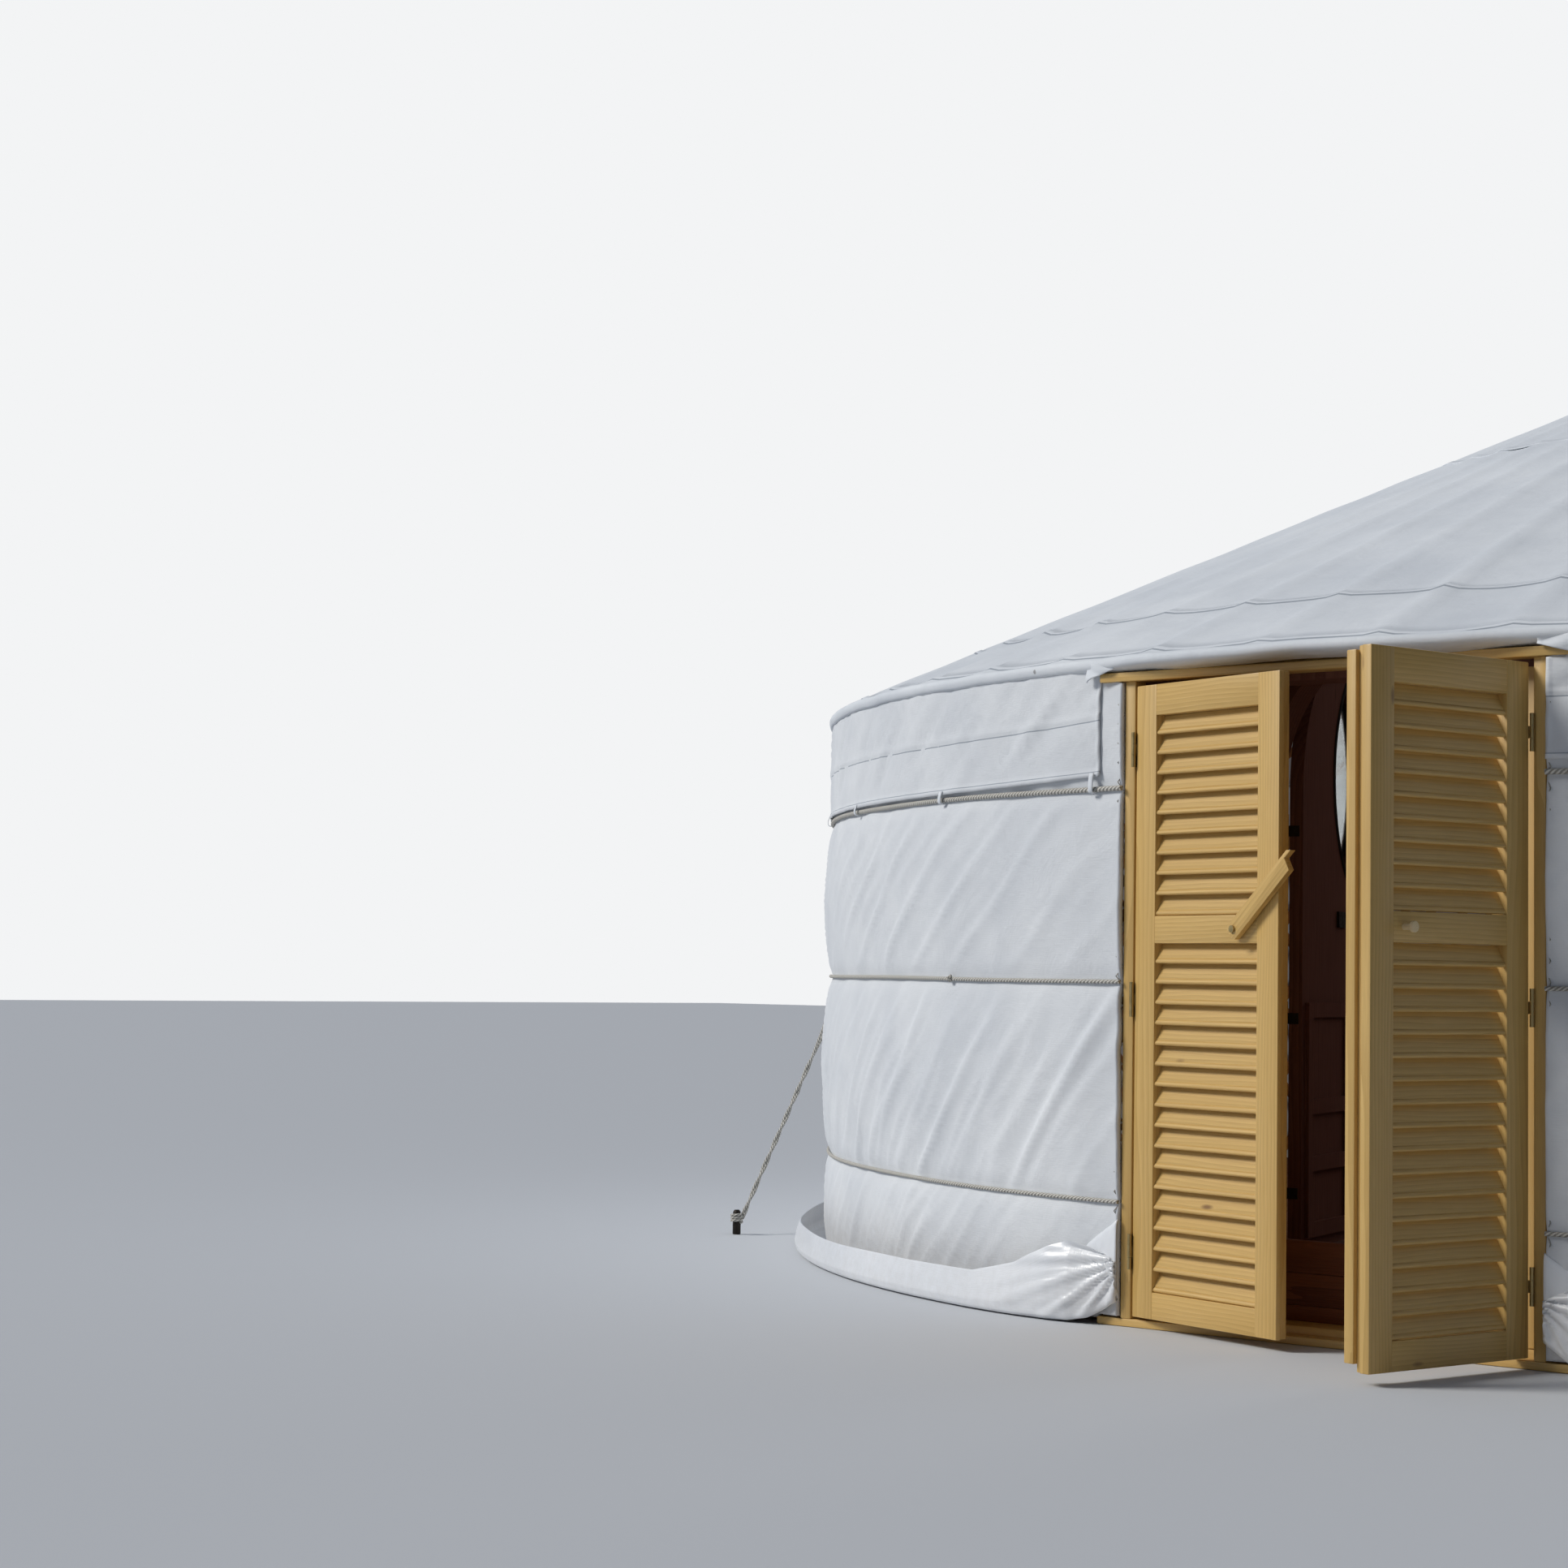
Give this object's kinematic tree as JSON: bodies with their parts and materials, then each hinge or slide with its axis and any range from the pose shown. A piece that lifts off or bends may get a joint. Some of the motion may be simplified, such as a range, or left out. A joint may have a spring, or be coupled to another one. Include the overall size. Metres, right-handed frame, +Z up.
{
  "type": "yurt",
  "caption": "Round felt-covered tent with a lattice wall, pole roof with crown ring, belt ropes, stakes, louvred double outer doors and a single inner door.",
  "frame": {"origin": "centre of the round wall on the ground", "axes": "+Z up, the door faces -Y, +X to the right of someone who faces the door from outside"},
  "size_m": [7.4196, 7.8495, 3.27],
  "materials": {
    "floor_boards": "planed softwood boards stained reddish brown",
    "plain_wood": "plain oiled softwood",
    "canvas": "off-white plain-woven cotton canvas",
    "rope": "laid rope of hemp and horsehair",
    "skirt_sheet": "white coated sheet with a soft gloss",
    "varnished_wood": "pine with honey-coloured gloss varnish",
    "stained_wood": "pine stained dark reddish brown",
    "black_iron": "blackened wrought iron",
    "plated_steel": "yellow zinc-plated steel, dulled",
    "window_glass": "clear glass"
  },
  "bodies": {
    "tent": {"floor": "floor_boards", "floor_beams": "floor_boards", "lattice_front_left": "plain_wood", "lattice_back_left": "plain_wood", "lattice_back_right": "plain_wood", "lattice_front_right": "plain_wood", "roof_poles_front_left": "plain_wood", "roof_poles_back_left": "plain_wood", "roof_poles_back_right": "plain_wood", "roof_poles_front_right": "plain_wood", "crown": "plain_wood", "wall_cover_front_left": "canvas", "wall_cover_back_left": "canvas", "wall_cover_back_right": "canvas", "wall_cover_front_right": "canvas", "roof_cover_front_left": "canvas", "roof_cover_back_left": "canvas", "roof_cover_back_right": "canvas", "roof_cover_front_right": "canvas", "valance": "canvas", "crown_cap": "canvas", "upper_rope": "rope", "middle_rope": "rope", "lower_rope": "rope", "guy_ropes": "rope", "stakes": "black_iron", "skirt": "skirt_sheet", "sill": "varnished_wood", "threshold": "floor_boards", "left_post": "varnished_wood", "right_post": "varnished_wood", "head": "varnished_wood", "front_board": "varnished_wood", "inner_frame": "stained_wood", "frame_hinges": "plated_steel"},
    "left_door": {"left_leaf": "varnished_wood", "left_louvres": "varnished_wood", "left_hinges": "plated_steel", "latch_screw": "plated_steel"},
    "turn_bar": {"latch_bar": "varnished_wood"},
    "right_door": {"right_leaf": "varnished_wood", "right_louvres": "varnished_wood", "right_hinges": "plated_steel", "latch_peg": "varnished_wood"},
    "inside_door": {"inner_door": "stained_wood", "window_glass": "window_glass", "inner_irons": "black_iron"}
  },
  "joints": [
    {"name": "left_door_hinge", "type": "hinge", "parent": "tent", "child": "left_door", "pos_m": [-0.616, -3.538, 0.915], "axis": [0, 0, -1], "range_deg": [-17.35, 97]},
    {"name": "turn_bar_pivot", "type": "hinge", "parent": "left_door", "child": "turn_bar", "pos_m": [-0.18379, -3.68037, 1.111], "axis": [-0.2982, -0.9545, 0], "range_deg": [-40, 46]},
    {"name": "right_door_hinge", "type": "hinge", "parent": "tent", "child": "right_door", "pos_m": [0.616, -3.538, 0.915], "axis": [0, 0, 1], "range_deg": [-79.4, 35]},
    {"name": "inside_door_hinge", "type": "hinge", "parent": "tent", "child": "inside_door", "pos_m": [-0.436, -3.013, 0.865], "axis": [0, 0, 1], "range_deg": [-103.5, 15]}
  ]
}
